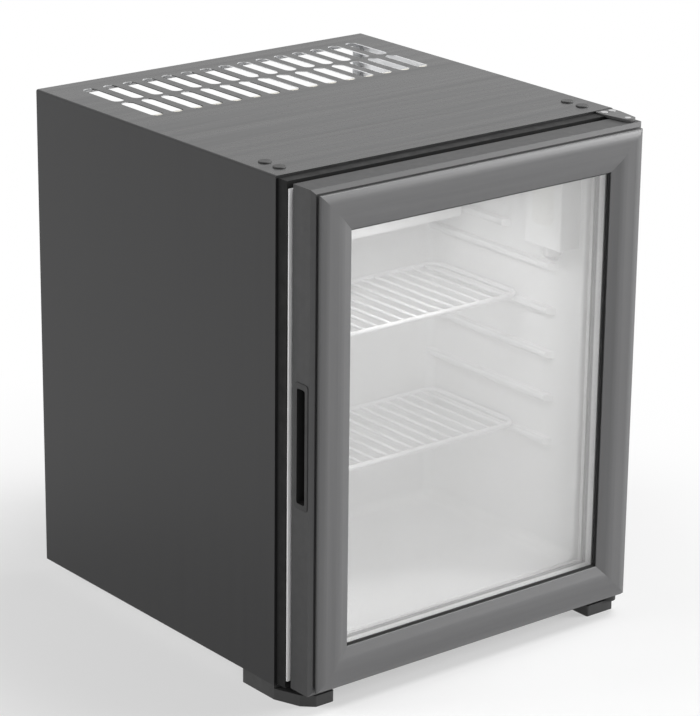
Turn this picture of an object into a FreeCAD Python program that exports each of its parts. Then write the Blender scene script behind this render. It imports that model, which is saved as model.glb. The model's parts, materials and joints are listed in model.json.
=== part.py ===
import FreeCAD, Part
import math
import os

# Minibar fridge with a glass door and an absorption cooling unit behind the insulated box.
# Millimetres. X runs to the right, Y to the rear, Z up from the floor; the origin lies under the middle.
Vector = FreeCAD.Vector

# Cabinet
cabinet_width = 400.0
cabinet_depth = 378.0
cabinet_height = 486.0
foot_height = 14.0
sheet = 0.8
fold_radius = 2.0
front_return = 4.0
rear_return = 12.0
pan_flange = 15.0
overrun = 5.0
touch_clearance = 0.3
fit_clearance = 0.05
loose_clearance = 0.5

# Vent slots and screw caps in the casing's top
vent_count = 15
vent_rows = 2
vent_pitch = 22.9
vent_width = 13.0
vent_length = 58.0
vent_row_gap = 6.0
vent_margin = 27.0
cap_diameter = 12.0
cap_rise = 1.2
cap_edge = 0.8
cap_stem = 6.8
cap_stem_length = 6.0
cap_side_margin = 20.0
cap_front_margin = 21.0
cap_spacing = 21.0

# Front collar and insulated box
collar_depth = 14.0
collar_inset = 2.0
collar_wall = 2.2
collar_band = 26.0
liner_wall = 1.6
liner_radius = 10.0
lip_radius = 2.4
flange_side_inset = 1.0
flange_end_inset = 7.0
side_insulation = 45.0
floor_insulation = 40.0
interior_depth = 205.0
rear_insulation = 30.0

# Shelf ribs moulded on the liner's side walls
rib_count = 5
rib_pitch = 44.5
rib_top_gap = 28.2
rib_height = 7.0
rib_reach = 7.0
rib_nose = 2.5
rib_front_gap = 20.0
tray_rib_length = 118.0

# Wire shelves
shelf_rod = 5.0
shelf_wire = 3.2
shelf_wires = 18
shelf_corner = 14.0
shelf_depth = 131.0
shelf_rear_gap = 7.0
shelf_side_gap = 1.5
upper_shelf_rib_index = 3
lower_shelf_rib_index = 0

# Drip tray under the evaporator
tray_depth = 53.0
tray_height = 10.0
tray_wall = 1.5
tray_corner = 6.0
tray_rear_gap = 3.0
tray_fin_gap = 2.5

# Door frame profile, from the outer side inwards and from the rear face forwards
door_gap = 2.8
door_side_inset = 4.5
door_end_inset = 3.5
door_side_flat = 25.4
chamfer_in = 4.0
chamfer_rise = 2.6
groove_width = 2.6
groove_depth = 3.0
bezel_setback = 4.7
bezel_edge = 2.6
bezel_edge_radius = 1.8
bezel_width = 36.7
bezel_rise = 2.2
bezel_drop = 4.5
bezel_shares = (0.16, 0.64)
bezel_radius = 18.0
bezel_break_radius = 24.0
bezel_lip = 2.0
rear_edge_radius = 1.0
frame_wall = 1.8

# Glazing
pane = 4.0
pane_gap = 12.0
glass_bite = 13.2
glass_edge_gap = 0.5
spacer_width = 7.5
spacer_setback = 1.2
seal_thickness = 2.2
seal_show = 1.4
bead_thickness = 4.0
bead_width = 11.5

# Door gasket
gasket_setback = 6.0
gasket_width = 13.0
gasket_rest_gap = 0.4
gasket_bevel = 1.0
gasket_skin = 0.6
gasket_dart = 2.8
gasket_dart_length = 4.0
gasket_slot_gap = 0.1
gasket_slot_setback = 12.0
magnet_width = 6.6
magnet_gap = 0.1

# Corner keys inside the door frame
key_leg = 46.0
key_gap = 0.15

# Recessed pull in the door's left side
pull_height = 120.0
pull_width = 19.0
pull_rim = 0.8
pull_slot_height = 109.0
pull_slot_width = 11.5
pull_slot_depth = 15.0
pull_wall = 1.5
pull_gap = 0.2
pull_setback = 14.3
pull_radius = 2.0
pull_floor_radius = 1.2

# Hinges
hinge_side = 12.5
hinge_forward = 34.0
hinge_pin = 6.0
bush_wall = 2.0
bush_length = 16.0
pin_reach = 14.0
upper_plate = 2.5
upper_gap = 0.4
lower_plate = 3.0
plate_nose = 7.0
plate_width = 21.0
plate_corner = 1.5
lower_plate_run = 45.0
washer_diameter = 14.0
washer_gap = 0.3
screw_diameter = 4.0
screw_head = 7.0
screw_head_rise = 0.4
screw_length = 9.0
hinge_screw_side = 5.0

# Feet
front_foot_width = 42.0
front_foot_run = 49.0
front_foot_reach = 36.0
front_foot_taper_share = 0.48
front_foot_taper_start = 26.0
left_foot_nose = 21.0
right_foot_nose = 9.0
front_foot_drop = 3.0
foot_edge_radius = 2.0
rear_foot_diameter = 30.0
rear_foot_base = 24.0
rear_foot_margin = 36.0
foot_screw_bore = 8.0
foot_screw_recess = 7.0
foot_screw_head = 7.6
foot_screw_head_height = 3.0
foot_screw_shares = (0.3, 0.7)

# Cooling unit
pipe_diameter = 14.0
pipe_wall = 1.5
pipe_bend = 17.0
unit_stand = 64.0
evaporator_drop = 84.0
evaporator_inlet = -15.0
evaporator_wall_gap = 12.0
window_margin = 25.0
window_height = 56.0
fin_block_width = 220.0
fin_block_height = 70.0
fin_block_base = 10.0
fin_count = 21
fin_depth = 22.0
fin_thickness = 1.6
clamp_width = 36.0
clamp_height = 34.0
clamp_thickness = 9.0
condenser_fin_end_gap = 8.0
condenser_fin_pitch = 9.0
condenser_fin_height = 48.0
condenser_fin_depth = 56.0
condenser_fin_sheet = 0.6
condenser_fin_radius = 4.0
boiler_side_gap = 19.2
boiler_diameter = 60.0
boiler_length = 210.0
boiler_low_share = 0.32
boiler_edge = 6.0
heater_diameter = 10.0
heater_offset = 18.0
heater_length = 120.0
heater_tail = 12.0
heater_cap = 13.0
coil_boiler_gap = 65.0
coil_end_inset = 17.0
coil_passes = 5
coil_pitch = 36.0
coil_top_drop = 67.0
coil_lead = 30.0
coil_bend_share = 0.47
pipe_joint_share = 0.22
vessel_diameter = 52.0
vessel_height = 66.0
vessel_side_gap = 88.0
vessel_boiler_gap = 45.0
vessel_dome = 10.0
vessel_wall = 2.0
support_sheet = 1.5
support_flange = 18.0
support_margin = 15.0
support_nose = 12.0
coil_support_shares = (0.2, 0.8)
support_end_gap = 6.0
cradle_width = 64.0
cradle_foot = 20.0
cradle_shares = (0.15, 0.7)
boiler_strap = 2.0
boiler_strap_height = 18.0
boiler_arm = 24.0

# Control box and mains inlet
control_width = 62.0
control_depth = 54.0
control_height = 100.0
control_side_gap = 8.0
control_level = 90.0
control_radius = 4.0
inlet_width = 27.0
inlet_height = 19.6
inlet_depth = 18.0
inlet_flange = 2.0
inlet_flange_margin = 3.0
inlet_wall = 1.5
inlet_recess = 15.0
inlet_corner = 4.0
inlet_pin_width = 2.0
inlet_pin_height = 4.0
inlet_pin_length = 12.0
inlet_pin_spacing = 7.0
inlet_earth_rise = 4.0
inlet_level_share = 0.3

# Lamp and thermostat housing on the right wall
housing_reach = 25.0
housing_front_gap = 7.0
housing_depth = 50.0
housing_height = 77.0
housing_ceiling_gap = 12.0
housing_wall = 2.0
housing_radius = 2.0
lens_depth = 30.0
lens_height = 52.0
lens_step = 1.0
board_thickness = 1.6
board_gap = 3.0
thermostat_width = 14.0
thermostat_depth = 30.0
thermostat_height = 18.0
knob_diameter = 20.0
knob_height = 9.0
knob_grip = 5.0
knob_grip_height = 5.0
knob_gap = 0.5
knob_shaft = 5.0

# Places worked out from the sizes above
door_thickness = door_side_flat + chamfer_rise + groove_width + bezel_edge + bezel_rise
door_reach = collar_depth + liner_wall + door_gap + door_thickness
front_y = door_reach - (cabinet_depth + door_reach) / 2
back_y = front_y + cabinet_depth
side_x = cabinet_width / 2
base_z = foot_height
top_z = base_z + cabinet_height
inner_x = side_x - sheet
inner_top_z = top_z - sheet
pan_top_z = base_z + sheet
collar_front_y = front_y - collar_depth
flange_front_y = collar_front_y - liner_wall
door_rear_y = flange_front_y - door_gap
wall_x = side_x - side_insulation
floor_z = base_z + floor_insulation
ceiling_z = top_z - floor_insulation
rear_wall_y = front_y + interior_depth
plate_y = rear_wall_y + rear_insulation
plate_rear_y = plate_y + sheet
door_width = cabinet_width - 2 * door_side_inset
door_height = cabinet_height - 2 * door_end_inset
door_side_x = door_width / 2
door_bottom_z = base_z + door_end_inset
door_top_z = top_z - door_end_inset
door_middle_z = (door_bottom_z + door_top_z) / 2
hinge_x = side_x - hinge_side
hinge_y = front_y - hinge_forward
unit_y = plate_rear_y + unit_stand
evaporator_z = top_z - evaporator_drop
evaporator_y = rear_wall_y - evaporator_wall_gap
bezel_inner = bezel_setback + bezel_width
rebate = bezel_inner - glass_bite - glass_edge_gap
lip_rear = door_thickness - bezel_drop - bezel_lip
outer_pane_rear = lip_rear - seal_thickness - pane
inner_pane_rear = outer_pane_rear - pane_gap - pane
chamber_rear = gasket_dart_length + loose_clearance + frame_wall
chamber_front = door_side_flat - frame_wall
chamber_inner = rebate - frame_wall
tray_rib_z = evaporator_z - fin_block_height / 2 - tray_fin_gap - tray_wall - touch_clearance
vessel_z = pan_top_z + vessel_height
boiler_x = inner_x - boiler_side_gap - boiler_diameter / 2
boiler_low_z = vessel_z + boiler_low_share * (evaporator_z - vessel_z - boiler_length)
boiler_top_z = boiler_low_z + boiler_length
pipe_joint_z = boiler_top_z + pipe_joint_share * (evaporator_z - pipe_bend - boiler_top_z)
vessel_left = vessel_side_gap - side_x
vessel_right = boiler_x - vessel_boiler_gap
coil_right = boiler_x - coil_boiler_gap
evaporator_outlet = vessel_left + coil_end_inset
lower_plate_z = base_z - lower_plate
upper_plate_z = door_top_z + upper_gap
coil_bend = coil_bend_share * coil_pitch


# Shape helpers
def box(x, y, z):
    """A block between a pair of limits along each axis."""
    return Part.makeBox(x[1] - x[0], y[1] - y[0], z[1] - z[0], Vector(x[0], y[0], z[0]))


def about(middle, size):
    """The limits of a size about its middle."""
    return (middle - size / 2, middle + size / 2)


def onward(start, size):
    """The limits of a size that begins at a place."""
    return (start, start + size)


def rounded_wire(points, radii, closed=True):
    """A wire through points whose corners are rounded with the radii given for them."""
    count = len(points)
    stops = []
    for index, (here, radius) in enumerate(zip(points, radii)):
        end_of_path = not closed and index in (0, count - 1)
        if radius == 0 or end_of_path:
            stops.append((here, None, here))
            continue
        to_last = (points[index - 1] - here).normalize()
        to_next = (points[(index + 1) % count] - here).normalize()
        half = to_last.getAngle(to_next) / 2
        bisector = (to_last + to_next).normalize()
        reach = radius / math.tan(half)
        centre = here + bisector * (radius / math.sin(half))
        stops.append((here + to_last * reach, centre - bisector * radius, here + to_next * reach))
    edges = []
    for index, (start, middle, stop) in enumerate(stops):
        if middle is not None:
            edges.append(Part.Arc(start, middle, stop).toShape())
        if index == count - 1 and not closed:
            break
        following = stops[(index + 1) % count][0]
        if not stop.isEqual(following, fit_clearance * fit_clearance):
            edges.append(Part.makeLine(stop, following))
    return Part.Wire(edges)


PLANES = {
    "xy": (lambda u, v, h: Vector(u, v, h), Vector(0, 0, 1)),
    "xz": (lambda u, v, h: Vector(u, h, v), Vector(0, 1, 0)),
    "yz": (lambda u, v, h: Vector(h, u, v), Vector(1, 0, 0)),
}


def outline(corners, plane, level):
    """A closed wire through (u, v, radius) corners, laid in a plane at a level."""
    lay, _ = PLANES[plane]
    points = [lay(u, v, level) for u, v, _ in corners]
    return rounded_wire(points, [radius for _, _, radius in corners])


def slab(corners, plane, limits, holes=()):
    """A plate of a rounded outline, with holes, between two levels of a plane."""
    wires = [outline(each, plane, limits[0]) for each in (corners, *holes)]
    _, normal = PLANES[plane]
    face = Part.Face(wires, "Part::FaceMakerBullseye")
    return face.extrude(normal * (limits[1] - limits[0]))


def rectangle(u, v, radius=0):
    """The corners of a rectangle with one radius at its corners."""
    return [(u[0], v[0], radius), (u[1], v[0], radius), (u[1], v[1], radius), (u[0], v[1], radius)]


def rod(start, stop, diameter):
    """A round bar between two points."""
    along = stop - start
    return Part.makeCylinder(diameter / 2, along.Length, start, along)


def swept(path, diameter):
    """A round bar along a smooth path."""
    first = path.OrderedEdges[0]
    start = first.valueAt(first.FirstParameter)
    ring = Part.Wire([Part.makeCircle(diameter / 2, start, first.tangentAt(first.FirstParameter))])
    return path.makePipeShell([ring], True, False)


def tube_along(points, diameter, bend):
    """A round bar along a path whose corners are bent."""
    return swept(rounded_wire(points, [bend] * len(points), closed=False), diameter)


def fused(shapes):
    """One solid out of shapes that join."""
    return shapes[0].multiFuse(shapes[1:]).removeSplitter()


def edges_where(shape, test):
    """The straight or round edges of a shape whose middle passes a test."""
    return [edge for edge in shape.Edges if test(edge.CenterOfMass)]


def near(a, b):
    """Whether two places are the same to within the modelling tolerance."""
    return abs(a - b) < fit_clearance


def mirrored(shape):
    """The same shape on the other side of the middle plane."""
    return shape.mirror(Vector(0, 0, 0), Vector(1, 0, 0))


# Cabinet pieces
def casing_section(inset, radius, bottom):
    """The casing's outline seen from the front, set in by an inset."""
    x = side_x - inset
    top = top_z - inset
    return [(-x, bottom, 0), (x, bottom, 0), (x, top, radius), (-x, top, radius)]


def vent_slots():
    """Round-ended slots in rows across the rear of the top."""
    slots = []
    for row in range(vent_rows):
        rear = back_y - vent_margin - row * (vent_length + vent_row_gap)
        for index in range(vent_count):
            x = (index - (vent_count - 1) / 2) * vent_pitch
            corners = rectangle(about(x, vent_width), (rear - vent_length, rear))
            block = slab(corners, "xy", (inner_top_z - overrun, top_z + overrun))
            upright = edges_where(block, lambda c: near(c.z, (inner_top_z + top_z) / 2))
            slots.append(block.makeFillet(vent_width / 2 - fit_clearance, upright))
    return slots


def cap_places():
    """The centres of the screw caps on the top."""
    rows = [front_y + cap_front_margin + step * cap_spacing for step in range(2)]
    return [Vector(side * (side_x - cap_side_margin), y, top_z) for side in (-1, 1) for y in rows]


def cap_holes():
    """Holes for the caps' stems through the casing and into the foam."""
    down = Vector(0, 0, -cap_stem_length - loose_clearance)
    return [rod(place, place + down, cap_stem + 2 * fit_clearance) for place in cap_places()]


def screw_caps():
    """Low round caps with a stem."""
    caps = []
    for place in cap_places():
        head = rod(place, place + Vector(0, 0, cap_rise), cap_diameter)
        rim = edges_where(head, lambda c: near(c.z, top_z + cap_rise))
        head = head.makeFillet(cap_edge, rim)
        stem = rod(place - Vector(0, 0, cap_stem_length), place, cap_stem)
        caps.append(head.fuse(stem).removeSplitter())
    return Part.makeCompound(caps)


def outer_casing():
    """One folded sheet for both sides and the top, with returns and vents."""
    depth = (front_y, back_y)
    outer = slab(casing_section(0, fold_radius, base_z), "xz", depth)
    hollow = slab(casing_section(sheet, fold_radius - sheet, base_z - overrun), "xz", depth)
    front_limits = onward(front_y, sheet)
    rear_limits = (back_y - sheet, back_y)
    ends = []
    for width, limits in ((front_return, front_limits), (rear_return, rear_limits)):
        band = slab(casing_section(0, fold_radius, base_z), "xz", limits)
        open_part = slab(casing_section(width, 0, base_z - overrun), "xz", limits)
        ends.append(band.cut(open_part))
    shell = fused([outer.cut(hollow), *ends])
    heads = [rod(p - Vector(0, 0, overrun), p + Vector(0, 0, overrun), cap_stem + 2 * fit_clearance)
             for p in cap_places()]
    return shell.cut(vent_slots() + heads)


def base_pan():
    """A flat floor sheet with upturned edges inside the casing."""
    x = (-inner_x, inner_x)
    y = (front_y, back_y - sheet)
    tray = box(x, y, onward(base_z, pan_flange))
    inside = box((x[0] + sheet, x[1] - sheet), (y[0] + sheet, y[1] - sheet), (pan_top_z, top_z))
    front_lip = box((x[0], x[1]), onward(y[0], sheet), (base_z + front_return, top_z))
    side_notch = front_return - sheet
    corners = [box(limits, onward(y[0], sheet), (base_z, top_z))
               for limits in (onward(x[0], side_notch), (x[1] - side_notch, x[1]))]
    return tray.cut([inside, front_lip, *corners])


def window(y):
    """The block that the evaporator's way through the rear wall takes up."""
    x = (evaporator_outlet - window_margin, evaporator_inlet + window_margin)
    return box(x, y, about(evaporator_z, window_height))


def back_plate():
    """The sheet that closes the foam behind the insulated box."""
    y = (plate_y, plate_rear_y)
    room = slab(casing_section(sheet, fold_radius - sheet, pan_top_z), "xz", y)
    x = inner_x - sheet
    return room.common(box((-x, x), y, (pan_top_z, inner_top_z))).cut(window(y))


def tub(grow, front):
    """The interior's rounded block, grown on all sides, from a front plane to the rear wall."""
    x = wall_x + grow
    block = box((-x, x), (front, rear_wall_y + grow), (floor_z - grow, ceiling_z + grow))
    rounded = edges_where(block, lambda c: not near(c.y, front))
    return block.makeFillet(liner_radius + grow, rounded)


def rib(top, start, stop):
    """A ledge with a round nose and a slanted front along the left wall, its top at a height."""
    low = top - rib_height
    root = -wall_x - liner_wall / 2
    tip = -wall_x + rib_reach
    corners = [(root, low, 0), (tip, low, rib_nose), (tip, top, rib_nose), (root, top, 0)]
    bar = slab(corners, "xz", (start, stop))
    slant = slab([(root, start, 0), (tip, start, 0), (tip, start + rib_reach, 0)], "xy", (low, top))
    return bar.cut(slant)


def rib_z(index):
    """The height of a shelf rib's top, counted up from the lowest."""
    return tray_rib_z - rib_top_gap - (rib_count - 1 - index) * rib_pitch


def inner_liner():
    """White tub with a front flange and ribs that carry the shelves and the tray."""
    edge_x = side_x - collar_inset - flange_side_inset
    edge_z = collar_inset + flange_end_inset
    flange = box((-edge_x, edge_x), (flange_front_y, collar_front_y), (base_z + edge_z, top_z - edge_z))
    body = flange.fuse(tub(liner_wall, flange_front_y)).cut(tub(0, flange_front_y))
    mouth_x = wall_x + fit_clearance
    lip = edges_where(body, lambda c: near(c.y, flange_front_y) and abs(c.x) < mouth_x
                      and floor_z - fit_clearance < c.z < ceiling_z + fit_clearance)
    body = body.makeFillet(lip_radius, lip)
    rear = rear_wall_y + liner_wall / 2
    ledges = [rib(rib_z(index), front_y + rib_front_gap, rear) for index in range(rib_count)]
    ledges.append(rib(tray_rib_z, rear - tray_rib_length, rear))
    ledges += [mirrored(ledge) for ledge in ledges]
    inside_wall = tub(liner_wall / 2, flange_front_y)
    body = fused([body, *[ledge.common(inside_wall) for ledge in ledges]])
    return body.cut([window((rear_wall_y - overrun, plate_y)), upper_plate_blank()])


def front_collar():
    """Dark ring in front of the casing, with a skirt and a front band."""
    x = side_x - collar_inset
    z = (base_z + collar_inset, top_z - collar_inset)
    block = box((-x, x), (collar_front_y, front_y), z)
    band_x = x - collar_band
    opening = box((-band_x, band_x), (collar_front_y, front_y), (z[0] + collar_band, z[1] - collar_band))
    hollow_x = x - collar_wall
    hollow_z = (z[0] + collar_wall, z[1] - collar_wall)
    hollow = box((-hollow_x, hollow_x), (collar_front_y + collar_wall, front_y), hollow_z)
    return block.cut([opening, hollow, upper_plate_blank(), *hinge_screw_holes()])


def insulation_foam():
    """Foam that fills the space between the casing and the liner."""
    section = casing_section(sheet, fold_radius - sheet, pan_top_z)
    behind = slab(section, "xz", (front_y + sheet, plate_y))
    neck_x = side_x - front_return - fit_clearance
    neck_z = (base_z + front_return + fit_clearance, top_z - front_return - fit_clearance)
    neck = box((-neck_x, neck_x), (collar_front_y, front_y + sheet), neck_z)
    taken = [tub(liner_wall, collar_front_y), front_collar(), base_pan(), window((rear_wall_y, plate_y))]
    holes = cap_holes() + hinge_screw_holes() + foot_screw_holes()
    return behind.fuse(neck).removeSplitter().cut(taken).cut(holes)


# Feet
def front_foot(nose):
    """Moulded foot, flush with the casing's left side, that reaches forward under the door to a nose."""
    outer = -side_x
    inner = outer + front_foot_width
    tip = front_y - front_foot_reach
    corners = [
        (outer, front_y + front_foot_run, foot_edge_radius),
        (outer, front_y, foot_edge_radius),
        (outer + front_foot_taper_share * nose, front_y - front_foot_taper_start, foot_edge_radius),
        (outer + nose, tip, foot_edge_radius),
        (inner, tip, foot_edge_radius),
        (inner, front_y + front_foot_run, foot_edge_radius),
    ]
    block = slab(corners, "xy", (0, base_z))
    above = box((outer, inner), (tip, front_y), (base_z - front_foot_drop, base_z))
    return block.cut([above, *foot_screw_holes()])


def front_foot_right():
    """The right foot has a wider nose, with a seat for the hinge plate."""
    return mirrored(front_foot(right_foot_nose)).cut(lower_plate_blank())


def rear_foot(side):
    """A tapered round foot under the rear of the pan."""
    place = Vector(side * (side_x - rear_foot_margin), back_y - rear_foot_margin, 0)
    body = Part.makeCone(rear_foot_base / 2, rear_foot_diameter / 2, base_z, place)
    return body.cut(foot_screw_holes())


def foot_screw_places():
    """The screws' places on the floor plane, two to a front foot and one to a rear foot."""
    x = hinge_x
    front = [Vector(side * x, front_y + share * front_foot_run, 0)
             for side in (-1, 1) for share in foot_screw_shares]
    x = side_x - rear_foot_margin
    return front + [Vector(side * x, back_y - rear_foot_margin, 0) for side in (-1, 1)]


def foot_screw_holes():
    """Recesses for the screws' heads and clearance holes for their shanks."""
    holes = []
    for place in foot_screw_places():
        seat = place + Vector(0, 0, foot_screw_recess)
        holes.append(rod(place, seat, foot_screw_bore))
        tip = Vector(place.x, place.y, base_z + screw_length)
        holes.append(rod(seat, tip, screw_diameter + 2 * fit_clearance))
    return holes


def foot_screws():
    """Screws that hold the feet, and the lower hinge plate, to the pan."""
    screws = []
    for place in foot_screw_places():
        seat = place + Vector(0, 0, foot_screw_recess)
        head = rod(seat - Vector(0, 0, foot_screw_head_height), seat, foot_screw_head)
        shank = rod(seat, Vector(place.x, place.y, base_z + screw_length - loose_clearance), screw_diameter)
        screws.append(head.fuse(shank).removeSplitter())
    return Part.makeCompound(screws)


# Hinges
def hinge_plate(z, rear):
    """A plate that ends in a round nose about the hinge axis."""
    half = plate_width / 2
    nose = plate_nose - fit_clearance
    tip = hinge_y - plate_nose
    corners = [
        (hinge_x - half, rear, plate_corner),
        (hinge_x - half, hinge_y + plate_width, plate_width / 2),
        (hinge_x - plate_nose, hinge_y, plate_nose),
        (hinge_x - plate_nose, tip, nose),
        (hinge_x + plate_nose, tip, nose),
        (hinge_x + plate_nose, hinge_y, plate_nose),
        (hinge_x + half, hinge_y + plate_width, plate_width / 2),
        (hinge_x + half, rear, plate_corner),
    ]
    return slab(corners, "xy", z)


def upper_plate_blank():
    """The upper plate before its holes are made."""
    return hinge_plate(onward(upper_plate_z, upper_plate), front_y)


def lower_plate_blank():
    """The lower plate before its holes are made."""
    return hinge_plate((lower_plate_z, base_z), front_y + lower_plate_run)


def hinge_rod(z, diameter):
    """A round bar on the hinge axis."""
    return rod(Vector(hinge_x, hinge_y, z[0]), Vector(hinge_x, hinge_y, z[1]), diameter)


def hinge_screw_places():
    """Two screws side by side through the upper plate into the collar."""
    y = front_y - collar_depth / 2
    return [Vector(hinge_x + side * hinge_screw_side, y, upper_plate_z + upper_plate) for side in (-1, 1)]


def hinge_screw_holes():
    """Clearance holes for the upper plate's screws."""
    down = Vector(0, 0, -screw_length - loose_clearance)
    return [rod(place, place + down, screw_diameter + 2 * fit_clearance) for place in hinge_screw_places()]


def hinge_screws():
    """Flat-headed screws in the upper plate."""
    screws = []
    for place in hinge_screw_places():
        head = rod(place, place + Vector(0, 0, screw_head_rise), screw_head)
        shank = rod(place - Vector(0, 0, screw_length), place, screw_diameter)
        screws.append(head.fuse(shank).removeSplitter())
    return Part.makeCompound(screws)


def upper_hinge_bracket():
    """Plate over the door's top, seated in the collar."""
    pin_hole = hinge_rod((base_z, top_z), hinge_pin + 2 * fit_clearance)
    return upper_plate_blank().cut([pin_hole, *hinge_screw_holes()])


def lower_hinge_bracket():
    """Plate under the door, held between the right foot and the pan."""
    pin_hole = hinge_rod((0, top_z), hinge_pin + 2 * fit_clearance)
    return lower_plate_blank().cut([pin_hole, *foot_screw_holes()])


def upper_hinge_pin():
    """Pin that hangs from the upper plate into the door."""
    return hinge_rod((door_top_z - pin_reach, upper_plate_z + upper_plate), hinge_pin)


def lower_hinge_pin():
    """Pin that stands on the lower plate and carries the door."""
    return hinge_rod((lower_plate_z, door_bottom_z + pin_reach), hinge_pin)


def thrust_washer():
    """Washer on the lower pin, under the door."""
    z = (base_z, door_bottom_z - washer_gap)
    return hinge_rod(z, washer_diameter).cut(hinge_rod(z, hinge_pin + 2 * fit_clearance))


bush_diameter = hinge_pin + 2 * fit_clearance + 2 * bush_wall


def hinge_bush(z):
    """A plain bush in the door frame's corner."""
    return hinge_rod(z, bush_diameter).cut(hinge_rod(z, hinge_pin + 2 * fit_clearance))


def bush_bores():
    """Bores for both bushes."""
    low = (door_bottom_z, door_bottom_z + bush_length)
    high = (door_top_z - bush_length, door_top_z)
    return [hinge_rod(z, bush_diameter + 2 * fit_clearance) for z in (low, high)]


# Door frame
DOOR_SIDES = {
    "top": (0, Vector(0, door_rear_y, door_top_z), door_width),
    "right": (90, Vector(door_side_x, door_rear_y, door_middle_z), door_height),
    "bottom": (180, Vector(0, door_rear_y, door_bottom_z), door_width),
    "left": (270, Vector(-door_side_x, door_rear_y, door_middle_z), door_height),
}


def mitred_bar(side, corners, hole=None):
    """A bar of one section on one side of the door, cut to a mitre at both ends.

    The section's corners are (u, w, radius), with u inwards from the door's side and w forwards
    from the door's rear face."""
    angle, place, length = DOOR_SIDES[side]
    half = length / 2
    turned = [[(-w, -u, radius) for u, w, radius in each] for each in (corners, hole) if each]
    bar = slab(turned[0], "yz", (-half, half), turned[1:])
    deep = max(u for u, _, _ in corners)
    reach = (-door_thickness - overrun, door_gap + overrun)
    mitre = [(-half, 0, 0), (half, 0, 0), (half - deep, -deep, 0), (deep - half, -deep, 0)]
    bar = bar.common(slab(mitre, "xz", reach))
    bar.rotate(Vector(0, 0, 0), Vector(0, 1, 0), angle)
    bar.translate(place)
    return bar


def frame_section():
    """The door bar's outline: flat side, chamfer, groove, crowned bezel, glass rebate, gasket slot."""
    groove_rear = door_side_flat + chamfer_rise
    groove_front = groove_rear + groove_width
    groove_floor = chamfer_in + groove_depth
    edge_front = groove_front + bezel_edge
    shoulder, crown = [bezel_setback + share * bezel_width for share in bezel_shares]
    slot = onward(gasket_slot_setback, gasket_dart + 2 * gasket_slot_gap)
    slot_depth = gasket_dart_length + loose_clearance
    return [
        (0, 0, rear_edge_radius),
        (0, door_side_flat, 0),
        (chamfer_in, groove_rear, 0),
        (groove_floor, groove_rear, 0),
        (groove_floor, groove_front, 0),
        (bezel_setback, groove_front, 0),
        (bezel_setback, edge_front, bezel_edge_radius),
        (shoulder, door_thickness, bezel_radius),
        (crown, door_thickness, bezel_break_radius),
        (bezel_inner, door_thickness - bezel_drop, rear_edge_radius),
        (bezel_inner, lip_rear, 0),
        (rebate, lip_rear, 0),
        (rebate, 0, 0),
        (slot[1], 0, 0),
        (slot[1], slot_depth, 0),
        (slot[0], slot_depth, 0),
        (slot[0], 0, 0),
    ]


def frame_bar(side):
    """A hollow bar of the door frame."""
    chamber = rectangle((frame_wall, chamber_inner), (chamber_rear, chamber_front))
    return mitred_bar(side, frame_section(), chamber)


def door_ring(u, w):
    """A rectangular ring between two distances from the door's sides and two from its rear."""
    limits = (door_rear_y - w[1], door_rear_y - w[0])
    outer = box((u[0] - door_side_x, door_side_x - u[0]), limits, (door_bottom_z + u[0], door_top_z - u[0]))
    inner = box((u[1] - door_side_x, door_side_x - u[1]), limits, (door_bottom_z + u[1], door_top_z - u[1]))
    return outer.cut(inner)


def glass_pane(rear):
    """A pane whose rear face lies a distance in front of the door's rear."""
    edge = rebate + glass_edge_gap
    x = door_side_x - edge
    y = (door_rear_y - rear - pane, door_rear_y - rear)
    return box((-x, x), y, (door_bottom_z + edge, door_top_z - edge))


def spacer_limits():
    """The spacer's outer and inner edge, measured from the door's side."""
    inner = bezel_inner - spacer_setback
    return (inner - spacer_width, inner)


def pane_spacer():
    """Metal spacer between the panes."""
    return door_ring(spacer_limits(), onward(inner_pane_rear + pane, pane_gap))


def edge_sealant():
    """Sealant round the spacer, out to the panes' edges."""
    return door_ring((rebate + glass_edge_gap, spacer_limits()[0]), onward(inner_pane_rear + pane, pane_gap))


def glazing_seal():
    """Dark rubber between the bezel's lip and the outer pane."""
    return door_ring((rebate, bezel_inner + seal_show), (lip_rear - seal_thickness, lip_rear))


def glazing_bead():
    """Bead that holds the glass from behind."""
    return door_ring(onward(rebate, bead_width), (inner_pane_rear - bead_thickness, inner_pane_rear))


gasket_height = door_gap - gasket_rest_gap
gasket_dart_start = gasket_slot_setback + gasket_slot_gap
magnet_middle = gasket_setback + gasket_width / 2


def gasket_pocket(gap):
    """The magnet's place in the gasket's section, less a gap."""
    width = magnet_width + 2 * magnet_gap - 2 * gap
    return rectangle(about(magnet_middle, width), (gasket_skin - gasket_height + gap, -gasket_skin - gap))


def door_gasket():
    """White gasket with a pocket for the magnets and a dart in the frame's slot."""
    inner = gasket_setback + gasket_width
    dart = onward(gasket_dart_start, gasket_dart)
    section = [
        (gasket_setback, 0, 0),
        (gasket_setback, gasket_bevel - gasket_height, 0),
        (gasket_setback + gasket_bevel, -gasket_height, 0),
        (inner - gasket_bevel, -gasket_height, 0),
        (inner, gasket_bevel - gasket_height, 0),
        (inner, 0, 0),
        (dart[1], 0, 0),
        (dart[1], gasket_dart_length, 0),
        (dart[0], gasket_dart_length, 0),
        (dart[0], 0, 0),
    ]
    return fused([mitred_bar(side, section, gasket_pocket(0)) for side in DOOR_SIDES])


def gasket_magnets():
    """Magnet strips in the gasket's four sides."""
    return Part.makeCompound([mitred_bar(side, gasket_pocket(magnet_gap)) for side in DOOR_SIDES])


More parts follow.
